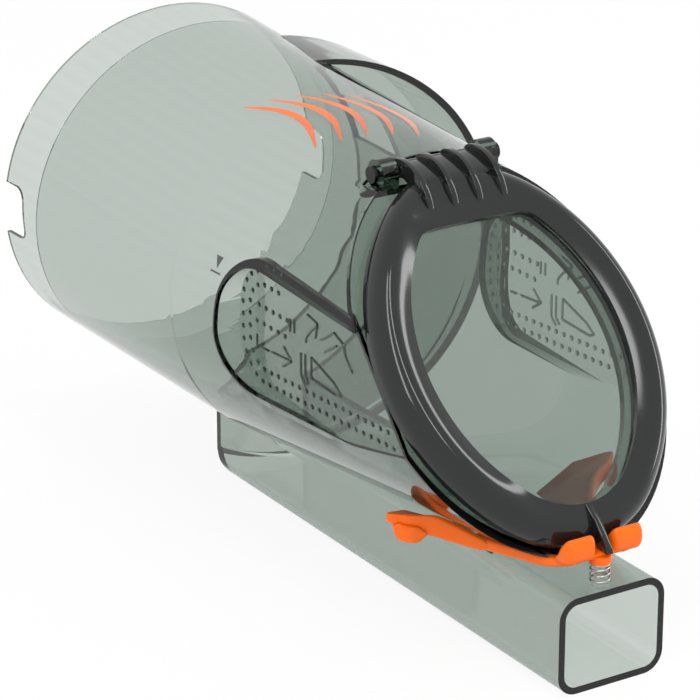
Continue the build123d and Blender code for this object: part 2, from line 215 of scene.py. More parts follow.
@dataclass(frozen=True)
class MouldedPlastic:
    """Opaque moulded plastic with a slight mottle and fine texture.

    Attributes:
        name: The material's name.
        colour: Main colour.
        mottle: Second colour of the slight mottle.
        sheen: How polished the surface is.
        grain: Texture cells per metre.
        bump: Strength of the texture.
        specular: Level of the surface's own reflection.
        clouds: Mottle cells per metre.
        grain_height: Height of the texture.
    """

    name: str
    colour: tuple[float, float, float]
    mottle: tuple[float, float, float]
    sheen: Sheen = Sheen.SATIN
    grain: float = 900.0
    bump: float = 0.05
    specular: float = 0.5
    clouds: float = 90.0
    grain_height: float = 0.1 * MM

    def build(self) -> bpy.types.Material:
        """Build the material: two close colours by noise, varied roughness and a fine bump.

        Returns:
            The new material.
        """
        material, tree = new_material(self.name)
        out = tree.nodes["Material Output"]
        body = node(tree, "ShaderNodeBsdfPrincipled", Specular_IOR_Level=self.specular)
        place = tree.nodes.new("ShaderNodeTexCoord")
        cloud = node(tree, "ShaderNodeTexNoise", Scale=self.clouds, Detail=4.0)
        ramp = tree.nodes.new("ShaderNodeValToRGB")
        ramp.color_ramp.elements[0].color = (*self.colour, 1.0)
        ramp.color_ramp.elements[1].color = (*self.mottle, 1.0)
        rough = self.sheen.value
        polish = node(tree, "ShaderNodeMapRange", To_Min=0.85 * rough, To_Max=1.2 * rough)
        bump = noise_bump(tree, self.grain, self.bump, self.grain_height)
        tree.links.new(place.outputs["Object"], cloud.inputs["Vector"])
        tree.links.new(cloud.outputs["Fac"], ramp.inputs["Fac"])
        tree.links.new(cloud.outputs["Fac"], polish.inputs["Value"])
        tree.links.new(ramp.outputs["Color"], body.inputs["Base Color"])
        tree.links.new(polish.outputs["Result"], body.inputs["Roughness"])
        tree.links.new(bump.outputs["Normal"], body.inputs["Normal"])
        tree.links.new(body.outputs["BSDF"], out.inputs["Surface"])
        return material


@dataclass(frozen=True)
class SpringSteel:
    """Drawn steel wire or pin, with fine lines along it.

    Attributes:
        name: The material's name.
        colour: The metal's colour.
        roughness: Mean roughness.
        lines: Cells of the draw lines per metre, along x, y and z.
    """

    name: str
    colour: tuple[float, float, float] = (0.56, 0.55, 0.53)
    roughness: float = 0.28
    lines: tuple[float, float, float] = (120.0, 2600.0, 2600.0)

    def build(self) -> bpy.types.Material:
        """Build the material, with roughness that varies along the draw lines.

        Returns:
            The new material.
        """
        material, tree = new_material(self.name)
        out = tree.nodes["Material Output"]
        body = node(tree, "ShaderNodeBsdfPrincipled", Base_Color=(*self.colour, 1.0), Metallic=1.0)
        place = tree.nodes.new("ShaderNodeTexCoord")
        turn = tree.nodes.new("ShaderNodeMapping")
        turn.inputs["Scale"].default_value = self.lines
        lines = node(tree, "ShaderNodeTexNoise", Scale=1.0, Detail=2.0)
        rough = self.roughness
        polish = node(tree, "ShaderNodeMapRange", To_Min=0.7 * rough, To_Max=1.4 * rough)
        tree.links.new(place.outputs["Object"], turn.inputs["Vector"])
        tree.links.new(turn.outputs["Vector"], lines.inputs["Vector"])
        tree.links.new(lines.outputs["Fac"], polish.inputs["Value"])
        tree.links.new(polish.outputs["Result"], body.inputs["Roughness"])
        tree.links.new(body.outputs["BSDF"], out.inputs["Surface"])
        return material


@dataclass(frozen=True)
class Finishes:
    """All the finishes of the bin."""

    shell: SmokyPlastic = SmokyPlastic("smoky_shell")
    # The dots and signs are the shell's own plastic made far denser: painted shade that stands in for the
    # dark look of the raised relief.
    relief: SmokyPlastic = SmokyPlastic("relief_painted_shade", density=2400.0)
    duct: SmokyPlastic = SmokyPlastic("smoky_duct", density=270.0)
    pane: SmokyPlastic = SmokyPlastic("smoky_pane", density=340.0)
    ring: MouldedPlastic = MouldedPlastic(
        "dark_ring", (0.008, 0.009, 0.009), (0.012, 0.013, 0.013), Sheen.POLISHED,
        grain=300.0, bump=0.02, specular=0.44,
    )
    lever: MouldedPlastic = MouldedPlastic(
        "orange_lever", (0.92, 0.135, 0.0), (0.95, 0.15, 0.002),
        grain=1400.0, bump=0.08, specular=0.3,
    )
    rubber: MouldedPlastic = MouldedPlastic(
        "seal_rubber", (0.012, 0.012, 0.012), (0.02, 0.02, 0.02), grain=1800.0, bump=0.15
    )
    ink: MouldedPlastic = MouldedPlastic(
        "orange_ink", (0.80, 0.16, 0.02), (0.86, 0.19, 0.03), grain=2200.0, bump=0.05
    )
    grey_ink: MouldedPlastic = MouldedPlastic(
        "grey_ink", (0.06, 0.065, 0.065), (0.08, 0.085, 0.085), grain=2200.0, bump=0.05
    )
    steel: SpringSteel = SpringSteel("spring_steel")
    dark_steel: SpringSteel = SpringSteel("dark_steel", (0.035, 0.035, 0.036), 0.24)


def mesh_object(
    name: str, points: np.ndarray, quads: np.ndarray, material: bpy.types.Material
) -> bpy.types.Object:
    """Put points and faces into a new object at the origin.

    Args:
        name: The piece's name.
        points: Array of shape (n, 3).
        quads: Array of shape (m, 4) of point numbers.
        material: The finish of every face.

    Returns:
        The new object, shaded smooth apart from its sharp edges.
    """
    mesh = bpy.data.meshes.new(name)
    mesh.vertices.add(len(points))
    mesh.vertices.foreach_set("co", np.ascontiguousarray(points, np.float32).ravel())
    mesh.loops.add(quads.size)
    mesh.loops.foreach_set("vertex_index", np.ascontiguousarray(quads, np.int32).ravel())
    mesh.polygons.add(len(quads))
    mesh.polygons.foreach_set("loop_start", np.arange(0, quads.size, 4, dtype=np.int32))
    mesh.polygons.foreach_set("use_smooth", np.ones(len(quads), bool))
    mesh.update(calc_edges=True)
    mesh.validate()
    mesh.set_sharp_from_angle(angle=SHARP_ANGLE)
    mesh.materials.append(material)
    made = bpy.data.objects.new(name, mesh)
    bpy.context.scene.collection.objects.link(made)
    return made


def tube_quads(count: int, around: int) -> np.ndarray:
    """Number the faces of a closed tube of rings whose two ends are closed by folding each end ring flat.

    Args:
        count: Number of rings.
        around: Points in each ring, an even number.

    Returns:
        Array of faces: the wall between neighbouring rings, then both end caps as strips across the ring.
    """
    ring = np.arange(count - 1)[:, None] * around
    step = np.arange(around)[None, :]
    after = (step + 1) % around
    above = ring + around
    wall = np.stack([ring + step, ring + after, above + after, above + step], -1).reshape(-1, 4)
    low = np.arange(around // 2 - 1)
    cap = np.stack([low, around - 1 - low, around - 2 - low, low + 1], -1)
    return np.concatenate([wall, cap, cap[:, ::-1] + (count - 1) * around])


def ribbon(
    path: np.ndarray, normal: np.ndarray, width: np.ndarray, height: float, sink: float
) -> np.ndarray:
    """Carry a low crowned profile along a path that lies on a surface.

    The profile's point at angle t is width/2 * cos t sideways and height * sin t outwards, with the
    lower half flattened to the sink depth under the surface.

    Args:
        path: Points on the surface, shape (n, 3).
        normal: Outward unit normals there, shape (n, 3).
        width: Full width at each point, shape (n,).
        height: Crown above the surface.
        sink: Depth of the underside.

    Returns:
        Ring points of shape (n, 12, 3).
    """
    along = np.gradient(path, axis=0)
    along /= np.linalg.norm(along, axis=1, keepdims=True)
    across = np.cross(normal, along)
    across /= np.linalg.norm(across, axis=1, keepdims=True)
    turn = (np.arange(RIBBON_POINTS) + 0.5) / RIBBON_POINTS * 2 * np.pi
    side = np.cos(turn)[None, :, None] * width[:, None, None] / 2
    rise = np.where(np.sin(turn) > 0, np.sin(turn) * height, np.sin(turn) * sink)[None, :, None]
    return path[:, None, :] + across[:, None, :] * side + normal[:, None, :] * rise


def joined(solids: Sequence[tuple[np.ndarray, np.ndarray]]) -> tuple[np.ndarray, np.ndarray]:
    """Put several solids together, with each one's faces counted on from the points before it.

    Args:
        solids: Points of shape (n, 3) and faces of shape (m, 4) of each solid.

    Returns:
        All the points and all the faces.
    """
    starts = np.cumsum([0] + [len(points) for points, _ in solids[:-1]])
    faces = [quads + start for (_, quads), start in zip(solids, starts)]
    return np.concatenate([points for points, _ in solids]), np.concatenate(faces)


def tubes_object(
    name: str, tubes: Sequence[np.ndarray], material: bpy.types.Material
) -> bpy.types.Object:
    """Join several ribbons or limbs into one piece.

    Args:
        name: The piece's name.
        tubes: Ring points of each ribbon or limb, shape (rings, around, 3).
        material: The finish.

    Returns:
        The new object.
    """
    solids = [(tube.reshape(-1, 3), tube_quads(*tube.shape[:2])) for tube in tubes]
    return mesh_object(name, *joined(solids), material)


def domes(
    centres: np.ndarray, normal: np.ndarray, radius: float, height: float, sink: float
) -> tuple[np.ndarray, np.ndarray]:
    """Make a field of small round domes.

    Each dome is a stack of rings, radius * cos f wide and height * sin f high, closed by a small flat
    top and a flat underside.

    Args:
        centres: Middle of each dome on the surface, shape (n, 3).
        normal: Outward unit normal of the flat surface.
        radius: Radius at the surface.
        height: Height of the dome.
        sink: Depth of the underside.

    Returns:
        Points of all the domes and faces of shape (m, 4).
    """
    around, lift = 10, np.radians([0.0, 30.0, 60.0])
    spin = np.arange(around) / around * 2 * np.pi
    u = np.cross(normal, ALONG)
    u /= np.linalg.norm(u)
    v = np.cross(normal, u)
    circle = np.cos(spin)[:, None] * u + np.sin(spin)[:, None] * v
    widths = np.concatenate([[radius], radius * np.cos(lift)])
    heights = np.concatenate([[-sink], height * np.sin(lift)])
    one = widths[:, None, None] * circle[None] + heights[:, None, None] * normal
    one = one.reshape(-1, 3)
    points = (centres[:, None, :] + one[None]).reshape(-1, 3)
    quads = tube_quads(len(widths), around)
    shift = np.arange(len(centres))[:, None, None] * len(one)
    return points, (quads[None] + shift).reshape(-1, 4)


def smooth_line(corners: Sequence[Sequence[float]], count: int) -> np.ndarray:
    """Draw a smooth line through corners: a cubic between each two, shaped by the two beside them.

    Args:
        corners: The points that the line goes through.
        count: Number of points to return.

    Returns:
        Array of shape (count, values of a corner).
    """
    c = np.array(corners, float)
    c = np.concatenate([2 * c[:1] - c[1:2], c, 2 * c[-1:] - c[-2:-1]])
    # The line stops a hair before the last corner, so that the last cubic still has its four points.
    t = np.linspace(0.0, len(c) - 3.000001, count)
    k = t.astype(int)
    f = (t - k)[:, None]
    a, b, d, e = c[k], c[k + 1], c[k + 2], c[k + 3]
    return b + 0.5 * f * (d - a + f * (2 * a - 5 * b + 4 * d - e + f * (3 * (b - d) + e - a)))


def rounded_outline(outline: Sequence[tuple[float, float]]) -> np.ndarray:
    """Round a closed outline by cutting its corners again and again, at a quarter of both edges.

    Args:
        outline: Corners of the outline.

    Returns:
        Points of the rounded outline, shape (n, 2).
    """
    flat = np.array(outline, float)
    for _ in range(CORNER_CUTS):
        after = np.roll(flat, -1, axis=0)
        flat = np.stack([0.75 * flat + 0.25 * after, 0.25 * flat + 0.75 * after], 1).reshape(-1, 2)
    return flat


def end_rounding(count: int, share: float) -> np.ndarray:
    """Size the rings along a limb: 1 in the middle and close to a quarter circle over each end.

    Args:
        count: Number of rings, which gather towards the ends.
        share: Share of the length that each end's rounding takes.

    Returns:
        Sizes of shape (count,).
    """
    u = 0.5 - 0.5 * np.cos(np.pi * np.linspace(0.0, 1.0, count))
    near = np.clip(np.minimum(u, 1.0 - u) / share, 0.0, 1.0)
    return np.sqrt(1.0 - END_TAKEN * (1.0 - near) ** 2)


def ease(u: np.ndarray) -> np.ndarray:
    """Return a soft step from 0 to 1 as u goes from 0 to 1: three squares less two cubes."""
    return u * u * (3.0 - 2.0 * u)


def limb(path: np.ndarray, half: tuple[np.ndarray, np.ndarray], section: Section) -> np.ndarray:
    """Carry a rounded box section along a path.

    The section's point at angle t is a * |cos t|^(2/p) one way and b * |sin t|^(2/p) the other, with their
    signs, where a and b are the half sizes as vectors and p the section's power.

    Args:
        path: Middle line, shape (n, 3).
        half: Half sizes as vectors of shape (n, 3), across and upwards.
        section: How square the section is.

    Returns:
        Ring points of shape (n, LIMB_POINTS, 3).
    """
    turn = (np.arange(LIMB_POINTS) + 0.5) / LIMB_POINTS * 2 * np.pi
    power = 2 / section.value
    a = np.sign(np.cos(turn)) * np.abs(np.cos(turn)) ** power
    b = np.sign(np.sin(turn)) * np.abs(np.sin(turn)) ** power
    return path[:, None] + a[None, :, None] * half[0][:, None] + b[None, :, None] * half[1][:, None]


def carried_across(outline: np.ndarray, x: np.ndarray, size: np.ndarray) -> np.ndarray:
    """Carry a side view across x, scaled about its middle.

    Args:
        outline: Points of the side view, shape (n, 2).
        x: Where each ring stands, shape (m,).
        size: Scale of each ring, shape (m,).

    Returns:
        Ring points of shape (m, n, 3).
    """
    middle = outline.mean(axis=0)
    flat = middle + (outline - middle)[None] * size[:, None, None]
    return np.concatenate([np.broadcast_to(x[:, None, None], (*flat.shape[:2], 1)), flat], -1)


@dataclass
class BowlSkin:
    """The bowl's outer skin as a function of its length and the angle from its top.

    Attributes:
        rim_radius: Radius at the open end.
        waist_y: Where the taper changes.
        waist_drop: How far the middle line has dropped there.
        rear_taper: Taper behind the waist, in degrees.
        front_taper: Taper in front of the waist, in degrees.
        axis_rise: Rise of the middle line in front of the waist, in degrees.
    """

    rim_radius: float = 55.0 * MM
    waist_y: float = -93.0 * MM
    waist_drop: float = 3.2 * MM
    rear_taper: float = 1.85
    front_taper: float = 4.1
    axis_rise: float = 0.9

    def cone(
        self, start: np.ndarray, ray: np.ndarray, axis: np.ndarray, taper: float
    ) -> tuple[np.ndarray, np.ndarray]:
        """Meet rays with one of the skin's two cones, both of which touch the same sphere at the waist.

        A point q, seen from the waist, is on the cone when (q.q - R^2) cos^2 t = (q.a - R sin t)^2, where
        R is the sphere's radius, a the axis towards the tip and t the taper. That is a quadratic in the
        distance.

        Args:
            start: Ray starts seen from the waist, shape (n, 3).
            ray: Unit directions, shape (n, 3).
            axis: Unit axis towards the cone's tip.
            taper: The taper in radians.

        Returns:
            Distances of shape (n,) and outward normals of shape (n, 3).
        """
        rear = math.radians(self.rear_taper)
        ball = (self.rim_radius + self.waist_y * math.tan(rear)) * math.cos(rear)
        square = math.cos(taper) ** 2
        lead = start @ axis - ball * math.sin(taper)
        a = square - (ray @ axis) ** 2
        b = square * np.sum(start * ray, -1) - lead * (ray @ axis)
        c = square * (np.sum(start * start, -1) - ball**2) - lead**2
        reach = (-b + np.sqrt(b * b - a * c)) / a
        hit = start + reach[:, None] * ray
        side = hit - (hit @ axis)[:, None] * axis
        side /= np.linalg.norm(side, axis=1, keepdims=True)
        return reach, side * math.cos(taper) + axis * math.sin(taper)

    def at(self, y: np.ndarray, turn: np.ndarray) -> tuple[np.ndarray, np.ndarray]:
        """Place points on the skin.

        Args:
            y: Lengths along the bowl.
            turn: Angles from the top towards +X, in degrees.

        Returns:
            Points and outward normals, both of shape (n, 3).
        """
        y, t = np.broadcast_arrays(np.asarray(y, float), np.radians(turn))
        waist = np.array([0.0, self.waist_y, -self.waist_drop])
        start = np.stack([np.zeros_like(t), y - self.waist_y, np.zeros_like(t)], -1)
        ray = np.stack([np.sin(t), np.zeros_like(t), np.cos(t)], -1)
        fall = math.atan2(self.waist_drop, -self.waist_y)
        rise = math.radians(self.axis_rise)
        rear_axis = np.array([0.0, -math.cos(fall), -math.sin(fall)])
        front_axis = np.array([0.0, -math.cos(rise), math.sin(rise)])
        rear, rear_out = self.cone(start, ray, rear_axis, math.radians(self.rear_taper))
        front, front_out = self.cone(start, ray, front_axis, math.radians(self.front_taper))
        points = waist + start + np.minimum(rear, front)[:, None] * ray
        return points, np.where((rear < front)[:, None], rear_out, front_out)


@dataclass
class SkinPrint:
    """Marks on the bowl's skin: a plain band of curved stripes on top and a level mark on the near side.

    Attributes:
        skin: The skin that carries the marks.
        lift: Thickness of the ink.
        stripes: Number of curved stripes.
        front: Where the stripes end.
        rear: Where the stripes start.
        stagger: How far each stripe starts after the last, as a share of the band.
        first_turn: Angle of the first stripe's ends from the top, in degrees.
        turn_step: Angle between stripes, in degrees.
        bow: Height of a stripe's wave, in degrees.
        tip_width: Width of a stripe at its ends.
        swell: How much wider a stripe is in its middle.
        line_y: Both ends of the level line.
        line_turn: Angle of the level line from the top, in degrees.
        line_width: Width of the level line.
        point_y: Where the triangle stands.
        point_turn: Angles of the triangle's tip and base, in degrees.
        point_width: Widths of the triangle's tip and base.
        samples: Points along the level line and along the triangle.
    """

    skin: BowlSkin
    lift: float = 0.06 * MM
    stripes: int = 5
    front: float = -137.0 * MM
    rear: float = -84.0 * MM
    stagger: float = 0.06
    first_turn: float = -22.0
    turn_step: float = 7.5
    bow: float = 7.0
    tip_width: float = 0.5 * MM
    swell: float = 2.0 * MM
    line_y: tuple[float, float] = (-113.6 * MM, -118.2 * MM)
    line_turn: float = -73.6
    line_width: float = 0.55 * MM
    point_y: float = -116.2 * MM
    point_turn: tuple[float, float] = (-72.2, -68.2)
    point_width: tuple[float, float] = (0.1 * MM, 3.3 * MM)
    samples: int = 16

    def mark(self, y: np.ndarray, turn: np.ndarray, width: np.ndarray) -> np.ndarray:
        """Return a thin ribbon of ink on the skin along each y and angle, with a width at each."""
        return ribbon(*self.skin.at(y, turn), width, self.lift, self.lift / 2)

    def stripe_band(self, ink: bpy.types.Material) -> bpy.types.Object:
        """Make the stripes: each runs along y, its angle follows a half wave, and its ends are narrow.

        Args:
            ink: The finish.

        Returns:
            The new piece.
        """
        s = np.linspace(0.0, 1.0, 48)
        wave = np.sin(np.pi * s)
        span = 1 - self.stagger * self.stripes
        strips = []
        for k in range(self.stripes):
            y = self.rear + (self.front - self.rear) * (self.stagger * k + span * s)
            turn = self.first_turn + self.turn_step * k + self.bow * wave
            strips.append(self.mark(y, turn, self.tip_width + self.swell * wave))
        return tubes_object("stripe_band", strips, ink)

    def level_mark(self, ink: bpy.types.Material) -> bpy.types.Object:
        """Make the level mark: a short line across the wall and a small triangle above it.

        Args:
            ink: The finish.

        Returns:
            The new piece.
        """
        n = self.samples
        level = np.full(n, self.line_turn)
        line = self.mark(np.linspace(*self.line_y, n), level, np.full(n, self.line_width))
        base = np.linspace(*self.point_turn, n)
        point = self.mark(np.full(n, self.point_y), base, np.linspace(*self.point_width, n))
        return tubes_object("level_mark", [line, point], ink)


@dataclass
class GripRecess:
    """Raised grip dots and plain signs on a finger recess's flat floor.

    Attributes:
        side: The side of the bin.
        floor: Distance of the floor from the middle plane.
        low: Lower edge of the recess.
        high: Upper edge of the recess.
        rear: Rear end of the recess.
        corner: Radius of the rounded rear end.
        mouth_y: Where the slanted mouth crosses z = 0.
        mouth_lean: Lean of the mouth, in degrees.
        pitch: Distance between dots.
        climb: Rise of the lower rows towards the front, per unit of length.
        dot_radius: Radius of a dot.
        dot_height: Height of a dot.
        line: Width of the signs' lines.
        sink: How deep dots and signs stand in the floor.
        edge_gap: Bare strip behind the door's edge.
        upper_run: Length of a row along the upper edge.
        row_insets: Distance of each long row from the recess's edge.
        short_rows: First dot of each short row, as its way from the rear end and its height.
        short_count: Dots in a short row.
        sample: Distance between points along a sign's lines.
        strokes: Lines of the signs as (y, z) in millimetres: a step bar and an arrow, two step bars, and
            a bin with a lid that swings open.
    """

    side: Side
    floor: float = 42.0 * MM
    low: float = -21.0 * MM
    high: float = 17.5 * MM
    rear: float = -117.0 * MM
    corner: float = 15.0 * MM
    mouth_y: float = -190.1 * MM
    mouth_lean: float = 40.5
    pitch: float = 3.7 * MM
    climb: float = 0.055
    dot_radius: float = 0.8 * MM
    dot_height: float = 0.45 * MM
    line: float = 0.8 * MM
    sink: float = 0.05 * MM
    edge_gap: float = 5.0 * MM
    upper_run: float = 7.0 * MM
    row_insets: tuple[float, ...] = (2.9 * MM, 6.7 * MM)
    short_rows: tuple[tuple[float, float], ...] = ((10.4 * MM, -0.8 * MM), (11.6 * MM, 4.2 * MM))
    short_count: int = 5
    sample: float = 0.4 * MM
    strokes: list[list[tuple[float, float]]] = field(default_factory=lambda: [
        [(-127.5, -8.6), (-127.5, -4.8)],
        [(-130.5, -8.1), (-133.5, -7.9)],
        [(-135.5, -7.7), (-145.6, -7.0)],
        [(-141.6, -3.9), (-145.6, -7.0), (-141.3, -9.8)],
        [(-145.0, 1.7), (-145.0, 5.4)],
        [(-147.2, 1.9), (-147.2, 5.6)],
        [(-153.3, 1.1), (-153.4, 2.6), (-155.3, 4.7), (-158.9, 7.7)],
        [(-154.2, 9.4), (-159.2, 8.2), (-158.2, 4.0)],
        [(-150.6, -2.8), (-150.6, -9.4), (-153.0, -11.5)],
        [(-152.8, -2.6), (-152.8, -9.0), (-154.6, -10.6)],
        [(-156.0, -2.4), (-155.9, -8.6), (-169.0, -9.3), (-171.1, -8.4), (-167.5, -6.0),
         (-156.0, -2.4)],
        [(-161.0, 4.3), (-167.6, 8.5), (-172.5, 6.5), (-173.3, 3.4), (-176.8, 0.1)],
        [(-163.0, 1.6), (-169.0, 5.2)],
    ])

    def outward(self) -> np.ndarray:
        """Return the floor's outward normal."""
        return np.array([self.side.value, 0.0, 0.0])

    def on_floor(self, y: np.ndarray, z: np.ndarray) -> np.ndarray:
        """Return points on the floor at each y and z."""
        return np.stack([np.full_like(y, self.side.value * self.floor), y, z], -1)

    def front_at(self, z: np.ndarray) -> np.ndarray:
        """Return where the door's edge ends the floor at each z."""
        return self.mouth_y + z * math.tan(math.radians(self.mouth_lean)) + self.edge_gap

    def row(self, inset: float) -> np.ndarray:
        """Place the dots of one row that follows the recess's edge at an inset.

        The row runs back along the upper edge, round the rear end and forward along the lower edge, where
        it climbs a little, and is sampled at the pitch.

        Args:
            inset: Distance of the row from the recess's edge.

        Returns:
            The dots as (y, z), shape (n, 2).
        """
        r = self.corner - inset
        up, down = self.high - self.corner, self.low + self.corner
        middle = self.rear - self.corner
        turn = np.radians(np.linspace(90.0, 0.0, 24))
        out, rise = r * np.cos(turn), r * np.sin(turn)
        tip = self.mouth_y + self.low * math.tan(math.radians(self.mouth_lean))
        tip_z = self.low + inset + self.climb * (middle - tip)
        y = np.concatenate([[middle - self.upper_run], middle + out, middle + out[::-1], [tip]])
        z = np.concatenate([[self.high - inset], up + rise, down - rise[::-1], [tip_z]])
        run = np.concatenate([[0.0], np.cumsum(np.hypot(np.diff(y), np.diff(z)))])
        s = np.arange(0.0, run[-1], self.pitch)
        return np.stack([np.interp(s, run, y), np.interp(s, run, z)], -1)

    def dot_centres(self) -> np.ndarray:
        """Place all the dots: two rows along the edge and two short rows in the rear end.

        Returns:
            The dots' middles, shape (n, 3).
        """
        steps = np.arange(self.short_count) * self.pitch
        rows = [self.row(inset) for inset in self.row_insets]
        for back, height in self.short_rows:
            rows.append(np.stack([self.rear - back - steps, np.full_like(steps, height)], -1))
        spots = np.concatenate(rows)
        spots = spots[spots[:, 0] > self.front_at(spots[:, 1])]
        return self.on_floor(spots[:, 0], spots[:, 1])

    def dots(self, plastic: bpy.types.Material) -> bpy.types.Object:
        """Make the field of dots as one piece.

        Args:
            plastic: The finish.

        Returns:
            The new piece.
        """
        field_of_dots = domes(
            self.dot_centres(), self.outward(), self.dot_radius, self.dot_height, self.sink
        )
        return mesh_object(f"grip_dots_{self.side.name.lower()}", *field_of_dots, plastic)

    def signs(self, plastic: bpy.types.Material) -> bpy.types.Object:
        """Make the raised signs: each stroke is a ribbon along a densely sampled line.

        Args:
            plastic: The finish.

        Returns:
            The new piece.
        """
        strips = []
        for stroke in self.strokes:
            corner = np.array(stroke) * MM
            edges = np.linalg.norm(np.diff(corner, axis=0), axis=1)
            run = np.concatenate([[0.0], np.cumsum(edges)])
            s = np.linspace(0.0, run[-1], max(8, int(run[-1] / self.sample)))
            path = self.on_floor(np.interp(s, run, corner[:, 0]), np.interp(s, run, corner[:, 1]))
            normal = np.broadcast_to(self.outward(), path.shape)
            width = np.full(len(s), self.line)
            strips.append(ribbon(path, normal, width, self.dot_height, self.sink))
        return tubes_object(f"grip_signs_{self.side.name.lower()}", strips, plastic)


def loop_quads(rings: int, around: int) -> np.ndarray:
    """Number the faces of a band of rings that closes on itself both ways.

    Args:
        rings: Number of rings.
        around: Points in each ring.

    Returns:
        Array of faces, shape (rings * around, 4).
    """
    ring = np.arange(rings)[:, None]
    step = np.arange(around)[None, :]
    next_ring, after = (ring + 1) % rings * around, (step + 1) % around
    ring = ring * around
    faces = np.stack([ring + step, ring + after, next_ring + after, next_ring + step], -1)
    return faces.reshape(-1, 4)


@dataclass
class DoorPlane:
    """The leaning plane of the bowl's mouth: x across, v up the slope and h outwards from it.

    Attributes:
        foot_y: Where the plane crosses z = 0.
        lean: Its lean from upright, in degrees.
    """

    foot_y: float = -190.1 * MM
    lean: float = 40.5

    def place(self, x: np.ndarray, v: np.ndarray, h: np.ndarray) -> np.ndarray:
        """Return points of the model at each x, v and h."""
        s, c = math.sin(math.radians(self.lean)), math.cos(math.radians(self.lean))
        return np.stack([x, self.foot_y + s * v - c * h, c * v + s * h], -1)


